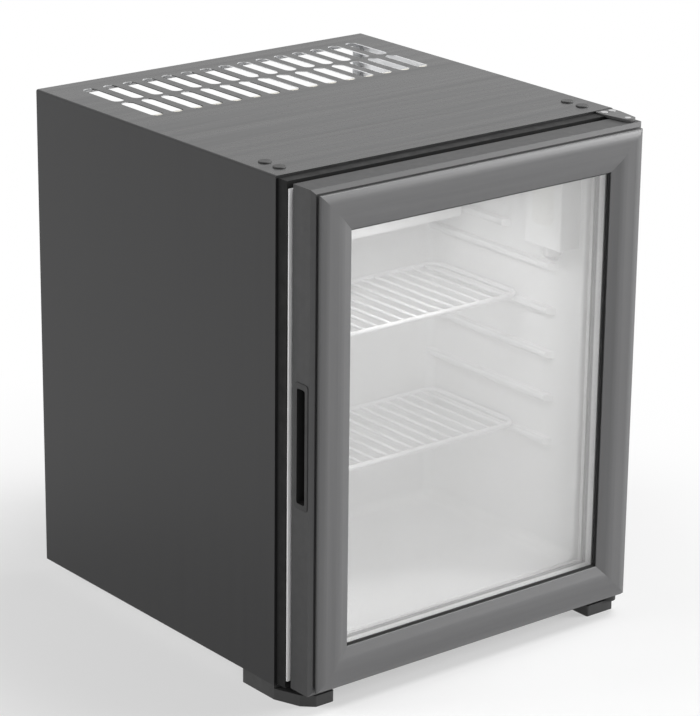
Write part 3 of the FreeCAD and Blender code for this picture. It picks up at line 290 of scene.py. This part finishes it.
def frame_material():
    """Door frame: dark body, satin grey bezel in front of the groove; painted shade gives the
    bezel's inner returns round the glass opening and its outer side faces the dark body colour, and
    its chamfer a dark mix.
    """
    t = new_tree("door_frame_satin_with_painted_shade")
    place = t.axes(t.place())
    depth = place["Y"]
    aside, above = from_middle(t, place)
    from_side = t.math("SUBTRACT", DOOR_HALF_WIDTH, aside)
    from_end = t.math("SUBTRACT", DOOR_HALF_HEIGHT, above)
    streak = streaks(t, t.math("LESS_THAN", from_end, from_side))
    body = t.mix(t.spread(streak), rgba((0.013, 0.013, 0.0135)), rgba((0.020, 0.020, 0.0205)))
    bezel = t.mix(t.spread(streak), rgba((0.088, 0.088, 0.090)), rgba((0.108, 0.108, 0.110)))
    front = t.math("LESS_THAN", depth, BEZEL_BACK_Y)
    fade_start, fade_end = FLANK_SHADE_FADE_Y
    # Painted shade: the bezel's outer side faces, behind its front edge, take the dark body colour.
    outer = t.rest(within(t, place, FLANK_HALF_WIDTH, FLANK_HALF_HEIGHT))
    flank_shade = t.math("MULTIPLY", outer, t.spread(depth, start=fade_start, end=fade_end))
    # Painted shade: the bezel's inner returns round the glass opening take the dark body colour.
    opening_shade = within(t, place, OPENING_HALF_WIDTH, OPENING_HALF_HEIGHT)
    unshaded = t.rest(t.math("MAXIMUM", opening_shade, flank_shade))
    # Painted shade: within the chamfer's depth, the shaded outer faces get three tenths of the
    # bezel grey.
    chamfer = t.math("MULTIPLY", front, t.math("GREATER_THAN", depth, CHAMFER_FRONT_Y))
    chamfer_shade_share, satin_shine = 0.3, 0.15
    satin = t.math("MAXIMUM", t.math("MULTIPLY", front, unshaded),
                   t.math("MULTIPLY", chamfer, chamfer_shade_share))
    tint = t.mix(satin, body, bezel)
    gloss = t.math("SUBTRACT", t.spread(t.noise(scale=120, detail=5), low=0.50, high=0.58),
                   t.math("MULTIPLY", satin, satin_shine))
    grain = t.bump(t.noise(scale=1800, detail=2), strength=0.03, distance=0.0001)
    return t.done(t.shader(tint, gloss, grain, specular_ior_level=0.7))


def spacer_material():
    """Bright spacer bar with its dark rows of breathing holes and sealed edges; the dark at its
    edges is also painted shade in the corners against the panes.
    """
    t = new_tree("pane_spacer")
    front, back = [corner.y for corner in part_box("pane_spacer")]
    across = t.spread(t.axes(t.place())["Y"], start=front, end=back)
    rows = t.node("ShaderNodeValToRGB", {"Fac": across})
    stops = rows.color_ramp.elements
    while len(stops) < len(SPACER_GREYS):
        stops.new(SPACER_GREYS[len(stops)][0])
    for stop, (place, grey) in zip(stops, SPACER_GREYS):
        stop.position = place
        stop.color = rgba(grey)
    gloss = t.spread(t.noise(scale=300), low=0.32, high=0.48)
    return t.done(t.shader(rows.outputs["Color"], gloss, metallic=0.3))


def glass_material():
    """Clear pane with smears and a faint whitish haze; the haze also stands in for the pane's
    reflection of its bright surroundings, a painted reflection.
    """
    t = new_tree("pane_glass")
    smear = t.noise(scale=14, detail=5, stretch=SMEARED, rough=0.65)
    # Painted reflection: the whitish tint at partial cover gives the veil that the pane's
    # reflection would give, along with real haze and smears.
    tint = t.mix(t.spread(smear), rgba((0.85, 0.85, 0.84)), rgba((0.91, 0.905, 0.90)))
    return t.done(t.shader(tint, t.spread(smear, low=0.02, high=0.05), alpha=0.15))


def foam_material():
    """Pale rigid foam with fine cells."""
    t = new_tree("foam_cells")
    cell = t.cells(scale=1100.0)["Distance"]
    tint = t.mix(cell, rgba((0.74, 0.71, 0.62)), rgba((0.84, 0.82, 0.75)))
    gloss = t.spread(t.noise(scale=60), low=0.7, high=0.9)
    return t.done(t.shader(tint, gloss, t.bump(cell, strength=0.25, distance=0.0004)))


MATERIALS = {
    "casing_paint": casing_material(),
    "plain_steel": metal("zinc_sheet", 0.62, rough=0.42, stretch=ACROSS, metallic=0.35),
    "collar_plastic": moulded("collar_plastic", 0.005, rough=0.55, grain=0.15,
                              specular_ior_level=0.18),
    "foam": foam_material(),
    "liner_plastic": moulded("liner_plastic", (0.875, 0.875, 0.878), rough=0.38, grain=0.03,
                             grain_scale=900, vary=0.02),
    "foot_plastic": moulded("foot_plastic", 0.034, rough=0.55, grain=0.25),
    "bright_steel": metal("bright_steel", 0.55, rough=0.36, stretch=ACROSS),
    "nylon": moulded("nylon", (0.74, 0.73, 0.68), rough=0.5, grain=0.08),
    "unit_paint": moulded("unit_paint", 0.016, rough=0.34, grain=0.12, grain_scale=700, vary=0.3),
    "cold_aluminium": metal("cold_aluminium", 0.72, rough=0.34, stretch=UP),
    "jacket_sheet": metal("jacket_sheet", 0.55, rough=0.45, stretch=UP),
    "dark_plastic": moulded("dark_plastic", 0.014, rough=0.5, grain=0.2),
    "lens_plastic": moulded("lens_plastic", (0.86, 0.86, 0.83), rough=0.25, grain=0.1,
                            grain_scale=500, vary=0.03),
    "board": moulded("board_lacquer", (0.03, 0.16, 0.06), rough=0.35, vary=0.2, mottle=160),
    "knob_plastic": moulded("knob_plastic", (0.66, 0.66, 0.66), rough=0.4, grain=0.08, vary=0.04),
    "door_frame": frame_material(),
    "pane_glass": glass_material(),
    "dark_rubber": moulded("dark_rubber", 0.010, rough=0.6, grain=0.15),
    "gasket_rubber": moulded("gasket_rubber", (0.76, 0.76, 0.76), rough=0.55, grain=0.1, vary=0.04),
    "shelf_coat": moulded("shelf_coat", (0.86, 0.86, 0.87), rough=0.3, grain=0.05,
                          grain_scale=1200, vary=0.03),
}

# Nodes whose look differs from that of their slot
OWN = {
    "pane_spacer": spacer_material(),
    "glazing_bead": moulded("bead_plastic", (0.66, 0.66, 0.66), rough=0.42, grain=0.05, vary=0.05),
    "upper_hinge_bracket": metal("hinge_plate", 0.13, rough=0.45, stretch=ACROSS, metallic=0.6),
    "lower_hinge_bracket": moulded("hinge_plate_black", 0.016, rough=0.45, grain=0.1),
    "thrust_washer": moulded("washer_black", 0.02, rough=0.5, grain=0.1),
}


def paint_nodes():
    for part in frame["record"]["subparts"]:
        data = nodes[part["node"]].data
        data.materials.clear()
        data.materials.append(OWN.get(part["node"], MATERIALS[part["material_slot"]]))


# Small fasteners and weld beads
def piece(name, build, body, slot):
    mesh = bpy.data.meshes.new(name)
    bm = bmesh.new()
    build(bm)
    bmesh.ops.recalc_face_normals(bm, faces=bm.faces)
    bm.to_mesh(mesh)
    bm.free()
    for polygon in mesh.polygons:
        polygon.use_smooth = True
    mesh.set_sharp_from_angle(angle=math.radians(SHARP_ANGLE))
    mesh.materials.append(MATERIALS[slot])
    obj = bpy.data.objects.new(name, mesh)
    scene.collection.objects.link(obj)
    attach(obj, body)


def around(steps):
    return [2 * math.pi * k / steps for k in range(steps)]


def facing(place, axis):
    turn = Vector(axis).to_track_quat("Z", "Y").to_matrix().to_4x4()
    return Matrix.Translation(Vector(place)) @ turn


def lathe(bm, profile, turn, steps=LATHE_STEPS):
    """Rings of (radius, height) round the local Z axis, closed where the radius is zero."""
    rings = []
    for radius, height in profile:
        corners = [(radius * math.cos(a), radius * math.sin(a)) for a in around(steps)]
        if radius == 0:
            corners = [(0, 0)]
        rings.append([bm.verts.new(turn @ Vector((x, y, height))) for x, y in corners])
    for low, high in zip(rings, rings[1:]):
        for k in range(steps):
            n = (k + 1) % steps
            corners = [low[k % len(low)], low[n % len(low)],
                       high[n % len(high)], high[k % len(high)]]
            bm.faces.new(list(dict.fromkeys(corners)))


def screw_head(bm, place, axis, radius):
    """Domed head with a washer rim and a cross slot, in shares of its radius."""
    turn = facing(place, axis)
    washer, washer_edge = 1.25 * radius, 0.12 * radius
    neck, seat = 1.02 * radius, 0.18 * radius
    dome = 0.55 * radius
    rim = [(washer, 0.0), (washer, washer_edge), (neck, seat)]
    curve = [(radius * math.cos(a), seat + dome * math.sin(a)) for a in DOME_ANGLES]
    lathe(bm, [(0, 0.0), *rim, *curve, (0, seat + dome)], turn)
    slot_low, slot_top = seat + 0.55 * dome, seat + 1.02 * dome
    long, wide = 0.62 * radius, 0.13 * radius
    corners = [(-long, -wide), (long, -wide), (long, wide), (-long, wide)]
    for spin in (SLOT_SPIN, SLOT_SPIN + math.pi / 2):
        bar = turn @ Matrix.Rotation(spin, 4, "Z")
        low, high = [[bm.verts.new(bar @ Vector((x, y, z))) for x, y in corners]
                     for z in (slot_low, slot_top)]
        bm.faces.new(high)
        for k in range(len(corners)):
            n = (k + 1) % len(corners)
            bm.faces.new((low[k], low[n], high[n], high[k]))


def weld(bm, place, axis, radius, bead):
    """An uneven bead round a pipe."""
    turn = facing(place, axis)
    rings = []
    for a in around(WELD_STEPS):
        size = bead * (1 + 0.16 * math.sin(9 * a) + 0.08 * math.sin(23 * a + 1))
        ring = []
        for b in around(WELD_SIDES):
            r = radius + size * math.cos(b)
            rise = 0.8 * size * math.sin(b)
            ring.append(bm.verts.new(turn @ Vector((r * math.cos(a), r * math.sin(a), rise))))
        rings.append(ring)
    for k in range(WELD_STEPS):
        for j in range(WELD_SIDES):
            a, b = rings[k], rings[(k + 1) % WELD_STEPS]
            n = (j + 1) % WELD_SIDES
            bm.faces.new((a[j], b[j], b[n], a[n]))


def grid(columns, depth, rows):
    return [(x, depth, z) for x in columns for z in rows]


def screws(name, places, radius):
    def build(bm):
        for place in places:
            screw_head(bm, place, REARWARD, radius)
    piece(name, build, "cabinet", "bright_steel")


def weld_beads(bm):
    for place, axis, radius, bead in WELDS:
        weld(bm, place, axis, radius, bead)


def fasteners():
    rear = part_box("outer_casing")[1].y
    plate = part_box("back_plate")[1].y
    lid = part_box("control_box")[1].y
    foot = plate + SUPPORT_FOOT_THICKNESS
    screws("casing_screws", grid(CASING_COLUMNS, rear, CASING_ROWS)
           + grid(CASING_TOP_COLUMNS, rear, CASING_TOP_ROW), CASING_HEAD)
    screws("plate_screws", grid(PLATE_COLUMNS, plate, PLATE_ROWS)
           + grid(PLATE_TOP_COLUMNS, plate, PLATE_TOP_ROW), PLATE_HEAD)
    screws("support_screws", grid(COIL_SUPPORT_COLUMNS, foot, COIL_SUPPORT_ROWS)
           + grid(FIN_SUPPORT_COLUMNS, foot, FIN_SUPPORT_ROWS), SUPPORT_HEAD)
    screws("control_screws", [(x, lid, z) for x, z in CONTROL_PLACES], CONTROL_HEAD)
    piece("weld_beads", weld_beads, "cabinet", "unit_paint")


# Stage
def seen_ray(t):
    """1 for the rays that show the background, 0 for those that only light the object."""
    path = t.node("ShaderNodeLightPath")
    seen = t.math("MAXIMUM", path.outputs["Is Camera Ray"], path.outputs["Is Glossy Ray"])
    return t.math("MAXIMUM", seen, path.outputs["Is Transmission Ray"])


def floor():
    """Pale paper that keeps the object's shadow and turns white farther out."""
    mesh = bpy.data.meshes.new("floor")
    half = FLOOR_HALF
    corners = [(-half, -half, 0), (half, -half, 0), (half, half, 0), (-half, half, 0)]
    mesh.from_pydata(corners, [], [range(len(corners))])
    obj = bpy.data.objects.new("floor", mesh)
    scene.collection.objects.link(obj)
    t = new_tree("floor_paper")
    paper = t.mix(t.spread(t.noise(scale=3, detail=3)), rgba(0.78), rgba(0.82))
    lit = t.node("ShaderNodeBsdfDiffuse", {"Color": paper})
    white = t.node("ShaderNodeEmission", {"Color": rgba(1.0), "Strength": 1.0})
    reach = t.node("ShaderNodeVectorMath", {0: t.place()}, operation="LENGTH").outputs["Value"]
    far = t.spread(reach, low=NEAR_WHITE, start=NEAR_REACH, end=FAR_REACH,
                   interpolation_type="SMOOTHSTEP")
    share = t.math("MULTIPLY", far, seen_ray(t))
    mesh.materials.append(t.done(t.blend(share, lit, white)))


def world():
    """White where it is seen, soft where it only lights the object."""
    scene.world = bpy.data.worlds.new("studio")
    t = Tree(scene.world)
    soft = t.node("ShaderNodeBackground", {"Color": rgba(1.0), "Strength": SOFT_STRENGTH})
    white = t.node("ShaderNodeBackground", {"Color": rgba(1.0), "Strength": 1.0})
    t.done(t.blend(seen_ray(t), soft, white), output="ShaderNodeOutputWorld")


def lamp(name, place, target, size, power, mirrored=True, beam=180):
    """Square lamp; one that isn't mirrored leaves no reflection of itself."""
    data = bpy.data.lights.new(name, "AREA")
    data.shape = "SQUARE"
    data.size = size
    data.spread = math.radians(beam)
    data.energy = power
    obj = bpy.data.objects.new(name, data)
    obj.location = place
    obj.visible_glossy = mirrored
    obj.visible_camera = False
    obj.rotation_euler = (Vector(target) - Vector(place)).to_track_quat("-Z", "Y").to_euler()
    scene.collection.objects.link(obj)


camera()
world()
floor()
for lamp_name, values in LAMPS.items():
    lamp(lamp_name, **values)
paint_nodes()
fasteners()
